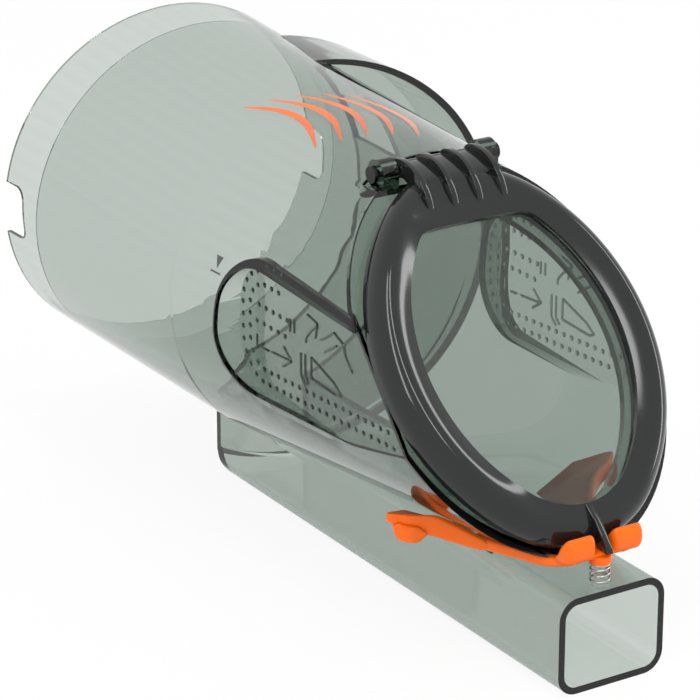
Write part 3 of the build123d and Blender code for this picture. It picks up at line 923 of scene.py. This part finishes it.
@dataclass
class DoorRing:
    """The door's dark ring with its crowned face, and the thin ribs and barrel of its hinge.

    Attributes:
        plane: The door's plane.
        half_width: Half the ring's width.
        half_height: Half the ring's height.
        share: How much tighter the oval's ends are than its sides.
        fillet: Radius of the ring's outer edge.
        front: Height of the ring's face over the mouth.
        back: Height of the ring's back over the mouth.
        lip: Depth of the lip in front of the pane.
        lap: How far the pane reaches behind the lip.
        side_face: Width of the ring beside the window.
        foot_face: Width of the ring under the window.
        window_top: Straight upper edge of the window.
        rise: Height of the crown over the face.
        blend: Power of the soft corner between the window's sides and its straight edge.
        fade_top: Height on the ring, from -1 to 1, where the crown has gone under the hinge.
        fade_foot: The same at the ring's foot.
        fade_span: Over how much of that height the crown comes up.
        gather: Power that gathers the section's points at the outer edge.
        crown_lean: Power that leans the crown outwards.
        ribs: Middle of each hinge rib across the door, in millimetres.
        rib_half: Half a rib's thickness, in millimetres.
        rib: Side view of a rib as (v, h) in millimetres.
        web: Side view of the web between the ribs.
        web_gap: How much shorter the web is than the barrel at each end, in millimetres.
        barrel: Middle of the hinge's barrel as (v, h), its radius and its half length, in millimetres.
    """

    plane: DoorPlane
    half_width: float = 42.8 * MM
    half_height: float = 55.1 * MM
    share: float = 0.75
    fillet: float = 5.5 * MM
    front: float = 8.2 * MM
    back: float = 1.2 * MM
    lip: float = 1.15 * MM
    lap: float = 1.35 * MM
    side_face: float = 11.05 * MM
    foot_face: float = 9.75 * MM
    window_top: float = 37.55 * MM
    rise: float = 1.7 * MM
    blend: float = 9.0
    fade_top: float = 0.96
    fade_foot: float = -0.925
    fade_span: float = 0.5
    gather: float = 1.6
    crown_lean: float = 0.8
    ribs: tuple[float, ...] = (-12.0, -4.0, 4.0, 12.0)
    rib_half: float = 0.95
    rib: list[tuple[float, float]] = field(default_factory=lambda: [
        (61.4, -1.4), (61.7, 1.4), (59.8, 4.6), (56.0, 7.8), (51.5, 9.7), (46.5, 9.8), (41.6, 8.2),
        (44.0, 7.0), (52.0, 4.0), (56.4, 1.6), (56.2, -2.2), (58.8, -3.2),
    ])
    web: list[tuple[float, float]] = field(default_factory=lambda: [
        (60.6, 0.6), (58.6, 3.2), (55.4, 5.9), (51.0, 8.3),
        (49.5, 7.4), (53.6, 3.4), (57.0, -0.6), (59.0, -2.0),
    ])
    web_gap: float = 0.8
    barrel: tuple[float, float, float, float] = (58.8, -0.5, 2.3, 13.2)

    def oval(self, turn: np.ndarray) -> tuple[np.ndarray, np.ndarray]:
        """Find the place on the ring's outer edge where its outward normal points along each angle.

        The oval is two end arcs about (0, +-shift) and two side arcs about (+-offset, 0). The normal's
        angle says which arc it is on: an end arc where |sin| is over shift / (side radius - end radius).

        Args:
            turn: Angles of the normal in the door's plane, in radians.

        Returns:
            x and v at each angle.
        """
        end = self.half_width - self.share * (self.half_height - self.half_width)
        shift = self.half_height - end
        side = (self.half_width**2 + shift**2 - end**2) / (2 * (self.half_width - end))
        at_end = np.abs(np.sin(turn)) > shift / (side - end)
        radius = np.where(at_end, end, side)
        across, up = np.cos(turn), np.sin(turn)
        x = np.where(at_end, 0.0, np.sign(across) * (self.half_width - side)) + radius * across
        v = np.where(at_end, np.sign(up) * shift, 0.0) + radius * up
        return x, v

    def band(self) -> tuple[np.ndarray, np.ndarray]:
        """Make the ring's surface: its section carried round the oval, square to its edge.

        The face follows the outer fillet and is raised by a half wave across its width. Its inner edge is
        a soft maximum of the width beside the window and of the way to the window's straight upper edge.
        The wave fades out under the hinge's ribs and behind the latch's hooks. The section closes behind
        the pane's edge.

        Returns:
            Points of shape (n, 3) and faces of shape (m, 4).
        """
        turn = np.linspace(0.0, 2 * np.pi, 360, endpoint=False)
        x, v = self.oval(turn)
        up = np.sin(turn)
        beside = self.side_face + (self.foot_face - self.side_face) * up**2
        above = np.maximum(v - self.window_top, 0.0) / np.maximum(up, 0.2)
        inner = ((beside**self.blend + above**self.blend) ** (1 / self.blend))[:, None]
        ends = np.stack([self.fade_top - up, up - self.fade_foot]) / self.fade_span
        fade = np.prod(ease(np.clip(ends, 0.0, 1.0)), axis=0)
        s = np.linspace(0.0, 1.0, 33) ** self.gather
        inset = inner * s[None]
        bend = np.minimum(inset, self.fillet)
        face = self.front - self.fillet + np.sqrt(self.fillet**2 - (self.fillet - bend) ** 2)
        face = face + (self.rise * fade)[:, None] * np.sin(np.pi * s[None] ** self.crown_lean)
        level = np.ones_like(inner)
        behind = inner - self.lap
        inset = np.concatenate([inset, inner, behind, behind, 0.0 * level], 1)
        low, back = (self.front - self.lip) * level, self.back * level
        height = np.concatenate([face, low, low, back, back], 1)
        across = x[:, None] - inset * np.cos(turn)[:, None]
        along = v[:, None] - inset * up[:, None]
        points = self.plane.place(across, along, height)
        return points.reshape(-1, 3), loop_quads(len(turn), inset.shape[1])

    def slab(
        self, outline: Sequence[tuple[float, float]], middle: float, half: float
    ) -> tuple[np.ndarray, np.ndarray]:
        """Carry a side view across x, a little smaller at both faces.

        Args:
            outline: Side view as (v, h) in millimetres.
            middle: Its middle across the door, in millimetres.
            half: Half its width, in millimetres.

        Returns:
            Points of shape (n, 3) and faces of shape (m, 4).
        """
        share = np.array([-1.0, -0.96, -0.8, 0.8, 0.96, 1.0])
        size = np.array([0.955, 0.985, 1.0, 1.0, 0.985, 0.955])
        rings = carried_across(rounded_outline(outline), middle + half * share, size) * MM
        points = self.plane.place(*np.moveaxis(rings, -1, 0))
        return points.reshape(-1, 3), tube_quads(*rings.shape[:2])

    def build(self, plastic: bpy.types.Material) -> bpy.types.Object:
        """Make the ring, the hinge's ribs with the web between them, and the barrel round the pin.

        Args:
            plastic: The finish.

        Returns:
            The new piece.
        """
        v, h, radius, half = self.barrel
        turn = np.arange(10) / 10 * 2 * np.pi
        circle = np.stack([v + radius * np.cos(turn), h + radius * np.sin(turn)], -1)
        web_half = half - self.web_gap
        solids = [self.band(), self.slab(circle, 0.0, half), self.slab(self.web, 0.0, web_half)]
        solids += [self.slab(self.rib, middle, self.rib_half) for middle in self.ribs]
        return mesh_object("door_ring", *joined(solids), plastic)


@dataclass
class DoorNib:
    """Small stop nib on the foot of the door's ring, between the latch's two hooks.

    Attributes:
        half_width: Half its width.
        outline: Its side view as (y, z) in millimetres, from its root in the ring to its tip.
    """

    half_width: float = 1.0 * MM
    outline: list[tuple[float, float]] = field(default_factory=lambda: [
        (-225.4, -30.0), (-226.0, -28.9), (-230.4, -32.0), (-236.3, -38.4),
        (-236.5, -39.8), (-235.2, -40.2), (-230.0, -38.4), (-227.0, -35.0),
    ])

    def build(self, plastic: bpy.types.Material) -> bpy.types.Object:
        """Make the nib: its side view carried across x, a little smaller at both faces.

        Args:
            plastic: The finish.

        Returns:
            The new piece.
        """
        x = np.array([-1.0, -0.8, 0.8, 1.0]) * self.half_width
        size = np.array([0.93, 1.0, 1.0, 0.93])
        rings = carried_across(np.array(self.outline) * MM, x, size)
        return tubes_object("door_nib", [rings], plastic)


@dataclass
class LatchLever:
    """The latch: two rounded hooks on a bar, two straps back to the pivots, and a finger wing on each side.

    Every length here is in millimetres.

    Attributes:
        hook: Side view of a hook as (y, z), with its throat round the ring's foot.
        bar: Side view of the bar that joins the hooks.
        hook_inner: Where a hook starts, from the middle plane.
        hook_outer: Where a hook ends.
        strap: Middle line of the strap on +X, from the pivot to the bar.
        wing_inner: Edge of the wing along the strap.
        wing_outer: Outer edge of the wing, from its rear tip to its front.
        skirt: Middle line of the tall band along the wing's outer edge, and its half height as a fourth
            value.
        lip: Middle line of the lip under the wing's outer edge.
        pivot: Middle of the pivot's eye.
        seat: Foot of the seat that presses on the spring.
        bar_half: Half the bar's length.
        strap_half: Half the strap's width.
        strap_thick: Half the strap's thickness at the pivot and at the bar.
        eye_half: Half the eye's length, depth and height.
        wing_thick: Half the wing's thickness at its rear, and what it gains towards the front.
        wing_grows: Share of the wing's length over which it thickens.
        skirt_half: Half the skirt's thickness.
        lip_half: Half the lip's thickness and height.
        seat_radius: Radius of the seat.
        seat_height: Height of the seat.
        rings: Rings along each limb.
    """

    hook: list[tuple[float, float]] = field(default_factory=lambda: [
        (-227.9, -40.9), (-227.9, -42.7), (-231.4, -42.7), (-234.6, -41.2), (-235.1, -37.2),
        (-233.8, -34.4), (-232.3, -34.9), (-230.4, -37.3), (-229.5, -39.4),
    ])
    bar: list[tuple[float, float]] = field(default_factory=lambda: [
        (-228.2, -40.7), (-228.0, -42.7), (-231.4, -42.7),
        (-233.9, -41.5), (-233.6, -39.9), (-230.0, -40.0),
    ])
    hook_inner: float = 2.5
    hook_outer: float = 12.8
    strap: list[tuple[float, float, float]] = field(default_factory=lambda: [
        (16.0, -198.6, -46.2), (16.0, -204.0, -45.5), (15.2, -210.0, -44.7), (13.6, -216.0, -44.2),
        (12.0, -222.0, -43.9), (10.8, -226.5, -43.0), (9.5, -230.0, -41.9), (7.0, -231.2, -41.5),
    ])
    wing_inner: list[tuple[float, float, float]] = field(default_factory=lambda: [
        (15.0, -182.0, -47.7), (15.0, -185.5, -47.6), (15.0, -190.0, -47.3), (15.2, -195.0, -47.1),
        (16.0, -199.0, -46.9), (16.4, -203.5, -46.3),
    ])
    wing_outer: list[tuple[float, float, float]] = field(default_factory=lambda: [
        (28.6, -181.0, -41.3), (37.6, -186.4, -39.1), (32.8, -190.6, -39.9), (27.4, -193.2, -40.8),
        (22.4, -196.8, -43.1), (17.6, -202.6, -45.7),
    ])
    skirt: list[tuple[float, float, float, float]] = field(default_factory=lambda: [
        (36.2, -187.2, -39.3, 1.7), (32.0, -191.2, -40.5, 2.4), (27.0, -193.9, -41.4, 2.9),
        (22.6, -197.2, -43.4, 2.6), (18.6, -202.0, -45.1, 1.9), (16.6, -206.0, -45.4, 1.4),
    ])
    lip: list[tuple[float, float, float]] = field(default_factory=lambda: [
        (36.2, -187.8, -41.7), (35.0, -190.2, -42.7), (32.6, -192.4, -43.3), (29.8, -194.0, -43.3),
    ])
    pivot: tuple[float, float, float] = (16.0, -200.0, -46.2)
    seat: tuple[float, float, float] = (0.0, -232.1, -43.65)
    bar_half: float = 11.0
    strap_half: float = 1.5
    strap_thick: tuple[float, float] = (1.8, 1.2)
    eye_half: tuple[float, float, float] = (1.5, 2.4, 2.1)
    wing_thick: tuple[float, float] = (1.0, 1.2)
    wing_grows: float = 0.45
    skirt_half: float = 1.2
    lip_half: tuple[float, float] = (1.3, 2.4)
    seat_radius: float = 3.0
    seat_height: float = 2.2
    rings: int = 40

    def hook_limb(self) -> np.ndarray:
        """Make a hook: its side view carried across x, with rounded ends.

        Returns:
            Ring points of shape (rings, n, 3).
        """
        cosine = 0.5 - 0.5 * np.cos(np.pi * np.linspace(0.0, 1.0, self.rings))
        x = self.hook_inner + (self.hook_outer - self.hook_inner) * cosine
        return carried_across(rounded_outline(self.hook), x, end_rounding(self.rings, 0.2))

    def strap_limb(self) -> np.ndarray:
        """Make the strap: a squarish section along its middle line, thinner at the bar.

        Returns:
            Ring points of shape (rings, LIMB_POINTS, 3).
        """
        line = smooth_line(self.strap, self.rings)
        wide = np.cross(UP, np.gradient(line, axis=0))
        wide /= -np.linalg.norm(wide, axis=1, keepdims=True)
        thick = np.linspace(*self.strap_thick, self.rings)[:, None]
        return limb(line, (self.strap_half * wide, thick * UP), Section.SQUARE)

    def eye_limb(self) -> np.ndarray:
        """Make the pivot's eye: an oval section along x, with rounded ends.

        Returns:
            Ring points of shape (12, LIMB_POINTS, 3).
        """
        count = 12
        length, deep, high = self.eye_half
        line = np.array(self.pivot) + np.linspace(-length, length, count)[:, None] * ACROSS
        size = end_rounding(count, 0.25)[:, None]
        return limb(line, (deep * size * ALONG, high * size * UP), Section.OVAL)

    def wing_limb(self) -> np.ndarray:
        """Make the wing: a plate between its two edges that thickens towards the front.

        Returns:
            Ring points of shape (rings, LIMB_POINTS, 3).
        """
        inner = smooth_line(self.wing_inner, self.rings)
        outer = smooth_line(self.wing_outer, self.rings)
        grow = np.clip(np.linspace(0.0, 1.0, self.rings) / self.wing_grows, 0.0, 1.0)
        rear, gain = self.wing_thick
        thick = (rear + gain * ease(grow)) * end_rounding(self.rings, 0.06)
        return limb((inner + outer) / 2, ((outer - inner) / 2, thick[:, None] * UP), Section.PLATE)

    def edge_limbs(self) -> list[np.ndarray]:
        """Make the skirt and the lip, upright bands along the wing's outer edge.

        Returns:
            Ring points of both, each of shape (rings, LIMB_POINTS, 3).
        """
        edge = smooth_line(self.skirt, self.rings)
        size = end_rounding(self.rings, 0.05)[:, None]
        half = self.skirt_half * size * ACROSS, edge[:, 3:] * size * UP
        skirt = limb(edge[:, :3], half, Section.SQUARE)
        size = end_rounding(self.rings, 0.2)[:, None]
        thick, high = self.lip_half
        line = smooth_line(self.lip, self.rings)
        lip = limb(line, (thick * size * ACROSS, high * size * UP), Section.SOFT)
        return [skirt, lip]

    def seat_limb(self) -> np.ndarray:
        """Make the round seat that presses on the spring.

        Returns:
            Ring points of shape (8, LIMB_POINTS, 3).
        """
        count = 8
        line = np.array(self.seat) + np.linspace(0.0, self.seat_height, count)[:, None] * UP
        level = np.ones((count, 1))
        half = self.seat_radius * level * ACROSS, self.seat_radius * level * ALONG
        return limb(line, half, Section.ROUND)

    def build(self, plastic: bpy.types.Material) -> bpy.types.Object:
        """Make the lever from the limbs on +X, their mirror images, the bar and the spring's seat.

        Args:
            plastic: The finish.

        Returns:
            The new piece.
        """
        limbs = [self.hook_limb(), self.strap_limb(), self.eye_limb(), self.wing_limb()]
        limbs += self.edge_limbs()
        mirrored = [(part * np.array([-1.0, 1.0, 1.0]))[:, ::-1] for part in limbs]
        x = np.linspace(-self.bar_half, self.bar_half, 24)
        bar = carried_across(rounded_outline(self.bar), x, np.ones_like(x))
        parts = [*limbs, *mirrored, bar, self.seat_limb()]
        return tubes_object("latch_lever", [part * MM for part in parts], plastic)


@dataclass
class LatchSpring:
    """Open coil between the duct's top and the lever's seat, built at its full height; the real one
    shortens as the lever goes down.

    Attributes:
        middle_y: Where the coil's axis stands.
        low: Foot of the coil.
        high: Top of the coil.
        radius: Radius at the middle of the wire.
        wire: Radius of the wire.
        turns: Number of turns.
        flat: Share of the wire that lies flat at each end.
        keep: Share of its height that is left when the lever is all the way down; not used.
    """

    middle_y: float = -232.1 * MM
    low: float = -48.9 * MM
    high: float = -43.7 * MM
    radius: float = 2.6 * MM
    wire: float = 0.26 * MM
    turns: float = 4.0
    flat: float = 0.16
    keep: float = 0.39

    def build(self, steel: bpy.types.Material) -> bpy.types.Object:
        """Make the coil: a round wire carried along a helix that climbs evenly between two flat ends.

        Args:
            steel: The finish.

        Returns:
            The new piece.
        """
        s = np.linspace(0.0, 1.0, 121)
        turn = 2 * np.pi * self.turns * s
        out = np.cos(turn)[:, None] * ACROSS + np.sin(turn)[:, None] * ALONG
        climb = np.clip((s - self.flat) / (1.0 - 2.0 * self.flat), 0.0, 1.0)
        z = self.low + self.wire + (self.high - self.low - 2 * self.wire) * climb
        path = self.radius * out + self.middle_y * ALONG + z[:, None] * UP
        around = (np.arange(10) + 0.5) / 10 * 2 * np.pi
        section = np.cos(around)[None, :, None] * out[:, None] + np.sin(around)[None, :, None] * UP
        rings = (path[:, None] + self.wire * section)[:, ::-1]
        return tubes_object("latch_coil", [rings], steel)


@dataclass(frozen=True)
class Lamp:
    """One soft rectangular lamp.

    Attributes:
        name: The lamp's name.
        place: Where it hangs.
        size: Width and height.
        power: Power in watts.
    """

    name: str
    place: tuple[float, float, float]
    size: tuple[float, float]
    power: float


@dataclass
class Studio:
    """White table, soft lamps and the camera.

    Attributes:
        eye: Place of the camera.
        azimuth: Camera's azimuth in degrees.
        elevation: Camera's elevation in degrees.
        focal_px: Focal length in pixels of a frame 700 pixels wide.
        frame_px: Width of that frame in pixels.
        fill: Level of the even light on the object.
        air: Thin air gap between the duct's foot and the table.
        table_half: Half the table's width.
        table_glow: Share of plain white in what the eye sees of the table.
        bounces: How often light may pass through the clear walls.
        aim: What the lamps point at.
        lamps: The lamps.
    """

    eye: tuple[float, float, float] = (-0.4910, -0.8834, 0.3344)
    azimuth: float = -32.38
    elevation: float = 21.38
    focal_px: float = 3400.0
    frame_px: float = 700.0
    fill: float = 0.8
    air: float = 0.4 * MM
    table_half: float = 4.0
    table_glow: float = 0.9
    bounces: int = 32
    aim: tuple[float, float, float] = (0.0, -0.11, 0.0)
    lamps: tuple[Lamp, ...] = (
        Lamp("key", (-0.75, -0.55, 0.95), (0.16, 1.1), 4.5),
        Lamp("front", (-0.13, -0.83, 0.96), (0.13, 0.8), 3.2),
        Lamp("side", (0.9, -0.5, 0.35), (0.12, 0.9), 2.5),
    )

    def seen_directly(self, tree: bpy.types.NodeTree) -> bpy.types.NodeSocket:
        """Add nodes that tell what is seen directly, through a reflection or through clear plastic.

        Args:
            tree: The tree that takes the nodes.

        Returns:
            A socket that is 1 for camera, glossy and transmission rays.
        """
        rays = tree.nodes.new("ShaderNodeLightPath")
        first = node(tree, "ShaderNodeMath", operation="MAXIMUM")
        second = node(tree, "ShaderNodeMath", operation="MAXIMUM")
        tree.links.new(rays.outputs["Is Camera Ray"], first.inputs[0])
        tree.links.new(rays.outputs["Is Glossy Ray"], first.inputs[1])
        tree.links.new(first.outputs["Value"], second.inputs[0])
        tree.links.new(rays.outputs["Is Transmission Ray"], second.inputs[1])
        return second.outputs["Value"]

    def backdrop(self) -> None:
        """Light the object evenly and show white behind it."""
        world = bpy.data.worlds.new("studio")
        bpy.context.scene.world = world
        world.use_nodes = True
        tree = world.node_tree
        tree.nodes.clear()
        out = tree.nodes.new("ShaderNodeOutputWorld")
        light = node(tree, "ShaderNodeBackground", Color=(1.0, 1.0, 1.0, 1.0), Strength=self.fill)
        white = node(tree, "ShaderNodeBackground", Color=(1.0, 1.0, 1.0, 1.0), Strength=1.0)
        mix = tree.nodes.new("ShaderNodeMixShader")
        tree.links.new(self.seen_directly(tree), mix.inputs["Fac"])
        tree.links.new(light.outputs["Background"], mix.inputs[1])
        tree.links.new(white.outputs["Background"], mix.inputs[2])
        tree.links.new(mix.outputs["Shader"], out.inputs["Surface"])

    def table(self) -> None:
        """Lay a pale floor under the object, nearly white to the eye, that keeps a soft shadow."""
        material, tree = new_material("white_table")
        out = tree.nodes["Material Output"]
        pale = (0.93, 0.93, 0.93, 1.0)
        body = node(tree, "ShaderNodeBsdfPrincipled", Base_Color=pale, Roughness=0.9)
        glow = node(tree, "ShaderNodeEmission", Color=(1.0, 1.0, 1.0, 1.0), Strength=1.0)
        share = node(tree, "ShaderNodeMath", operation="MULTIPLY")
        share.inputs[1].default_value = self.table_glow
        mix = tree.nodes.new("ShaderNodeMixShader")
        tree.links.new(self.seen_directly(tree), share.inputs[0])
        tree.links.new(share.outputs["Value"], mix.inputs["Fac"])
        tree.links.new(body.outputs["BSDF"], mix.inputs[1])
        tree.links.new(glow.outputs["Emission"], mix.inputs[2])
        tree.links.new(mix.outputs["Shader"], out.inputs["Surface"])
        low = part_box("inlet_duct")[0].z - self.air
        far = self.table_half
        corner = np.array([[-far, -far, low], [far, -far, low], [far, far, low], [-far, far, low]])
        mesh_object("table", corner, np.array([[0, 1, 2, 3]]), material)

    def hang(self, lamp: Lamp) -> None:
        """Hang one lamp and aim it at the bin.

        Args:
            lamp: The lamp.
        """
        data = bpy.data.lights.new(lamp.name, "AREA")
        data.shape = "RECTANGLE"
        data.size, data.size_y = lamp.size
        data.energy = lamp.power
        made = bpy.data.objects.new(lamp.name, data)
        made.location = lamp.place
        aim = Vector(self.aim) - Vector(lamp.place)
        made.rotation_euler = aim.to_track_quat("-Z", "Y").to_euler()
        bpy.context.scene.collection.objects.link(made)

    def camera(self) -> None:
        """Stand the camera where the photograph was taken from."""
        a, e = math.radians(self.azimuth), math.radians(self.elevation)
        back = Vector((math.sin(a) * math.cos(e), -math.cos(a) * math.cos(e), math.sin(e)))
        right = Vector((math.cos(a), math.sin(a), 0.0))
        up = back.cross(right)
        data = bpy.data.cameras.new("camera")
        data.sensor_width = 36.0
        data.lens = data.sensor_width * self.focal_px / self.frame_px
        made = bpy.data.objects.new("camera", data)
        turn = Matrix((right, up, back)).transposed().to_4x4()
        made.matrix_world = Matrix.Translation(self.eye) @ turn
        bpy.context.scene.collection.objects.link(made)
        bpy.context.scene.camera = made

    def build(self) -> None:
        """Set up the whole studio."""
        bpy.context.scene.view_settings.view_transform = "Standard"
        cycles = bpy.context.scene.cycles
        cycles.max_bounces = self.bounces
        cycles.transmission_bounces = self.bounces
        self.backdrop()
        self.table()
        for lamp in self.lamps:
            self.hang(lamp)
        self.camera()


def dress(name: str, material: bpy.types.Material) -> None:
    """Give a CAD node its finish.

    Args:
        name: The node's name.
        material: The finish.
    """
    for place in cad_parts[name].material_slots:
        place.material = material
    LOG.info("dressed %s with %s", name, material.name)


def carry(piece: bpy.types.Object, body: str) -> None:
    """Let a new piece ride on a body.

    Args:
        piece: The piece.
        body: The body that carries it.
    """
    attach(piece, body)
    LOG.info("%s rides on %s", piece.name, body)


def main() -> None:
    """Dress the nodes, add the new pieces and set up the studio."""
    logging.basicConfig(level=logging.INFO, format="%(name)s: %(message)s")
    finishes = Finishes()
    dress("bowl", finishes.shell.build())
    dress("inlet_duct", finishes.duct.build())
    dress("door_window", finishes.pane.build())
    ring = finishes.ring.build()
    dress("door_frame", ring)
    dress("door_seal", finishes.rubber.build())
    orange = finishes.lever.build()
    dress("latch", orange)
    dress("hinge_pin", finishes.dark_steel.build())
    steel = finishes.steel.build()
    dress("latch_spring", steel)

    marks = SkinPrint(BowlSkin())
    carry(marks.stripe_band(finishes.ink.build()), "bin")
    carry(marks.level_mark(finishes.grey_ink.build()), "bin")
    # Dots and signs take the denser plastic, painted shade for the raised relief.
    relief = finishes.relief.build()
    for side in Side:
        recess = GripRecess(side)
        carry(recess.dots(relief), "bin")
        carry(recess.signs(relief), "bin")

    door = DoorRing(DoorPlane()).build(ring)
    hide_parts("door_frame")
    carry(door, "door")
    carry(DoorNib().build(ring), "door")
    lever = LatchLever().build(orange)
    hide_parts("latch")
    carry(lever, "latch")
    spring = LatchSpring()
    coil = spring.build(steel)
    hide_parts("latch_spring")
    carry(coil, "bin")
    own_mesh(coil)

    Studio().build()


if __name__ == "__main__":
    main()
